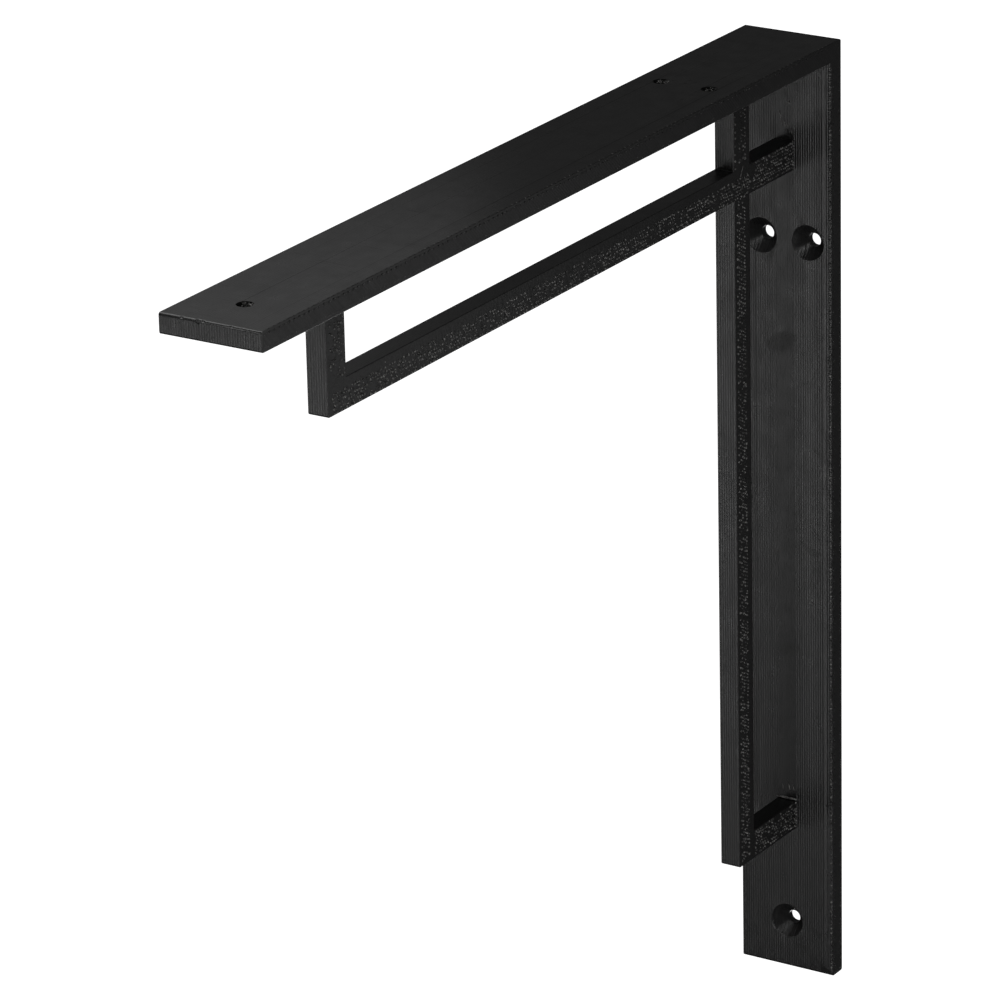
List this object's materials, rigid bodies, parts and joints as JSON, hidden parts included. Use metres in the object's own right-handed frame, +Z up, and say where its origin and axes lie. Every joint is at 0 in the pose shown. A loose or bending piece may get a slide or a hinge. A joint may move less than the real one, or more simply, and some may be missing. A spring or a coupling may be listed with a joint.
{
  "type": "shelf bracket",
  "caption": "Printed plastic shelf bracket: an arm and a wall plate at a right angle, stiffened inside the corner by a frame of narrow ribs, with countersunk screw holes.",
  "frame": {"origin": "on the back face of the wall plate, level with the top face of the arm, at the middle of the width", "axes": "+X out from the wall along the arm, +Y along the shelf across the bracket's width, +Z up towards the shelf"},
  "size_m": [0.3, 0.032, 0.3],
  "materials": {
    "printed_black": "matte black printed plastic with fine layer lines"
  },
  "bodies": {
    "root": {"bracket": "printed_black"}
  },
  "joints": []
}
